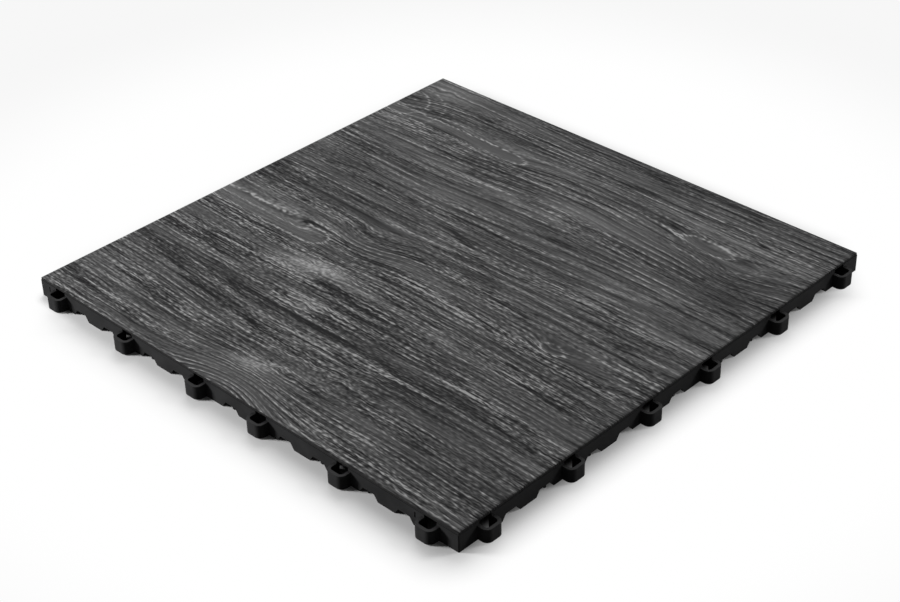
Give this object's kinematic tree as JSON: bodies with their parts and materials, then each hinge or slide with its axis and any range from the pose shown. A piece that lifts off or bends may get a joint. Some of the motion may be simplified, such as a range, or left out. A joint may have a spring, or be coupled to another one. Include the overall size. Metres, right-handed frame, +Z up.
{
  "type": "vinyl floor tile",
  "caption": "Square interlocking floor tile: an embossed wood-grain vinyl sheet on a black ribbed base, with loops on two sides and pegs under the other two.",
  "frame": {"origin": "on the floor, under the middle of the square deck", "axes": "+Z up, through the vinyl face; +X to the right-hand loop side, along the grain; -Y to the front loop side"},
  "size_m": [0.4082, 0.4082, 0.0145],
  "materials": {
    "base_plastic": "fine matte moulding",
    "grain_vinyl": "embossed charcoal wood grain"
  },
  "bodies": {
    "root": {"base_tile": "base_plastic", "vinyl_sheet": "grain_vinyl"}
  },
  "joints": []
}
